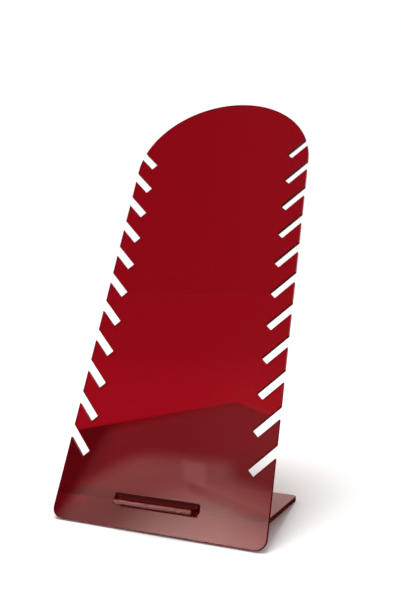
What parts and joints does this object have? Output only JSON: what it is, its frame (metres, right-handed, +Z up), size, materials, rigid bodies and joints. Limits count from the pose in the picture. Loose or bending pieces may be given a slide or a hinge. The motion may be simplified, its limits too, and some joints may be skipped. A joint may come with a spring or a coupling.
{
  "type": "necklace stand",
  "caption": "Knock-down necklace stand: a round-topped panel leans back, with slanted notches down both sides and a base plate tabbed through a slot at its foot.",
  "frame": {"origin": "on the surface that the stand rests on, below the middle of its bounding box", "axes": "+X across the stand to the right seen from the front, -Y towards the viewer, +Z up"},
  "size_m": [0.18, 0.1974, 0.3823],
  "materials": {
    "tinted_acrylic_panel": "clear dark red acrylic sheet, polished faces",
    "tinted_acrylic_base": "clear dark red acrylic sheet, polished faces"
  },
  "bodies": {
    "panel": {"display_panel": "tinted_acrylic_panel"},
    "base": {"base_plate": "tinted_acrylic_base"}
  },
  "joints": [
    {"name": "base_pull_out", "type": "slide", "parent": "panel", "child": "base", "axis": [0, 0.9853, -0.1709], "range_m": [0, 0.02]}
  ]
}
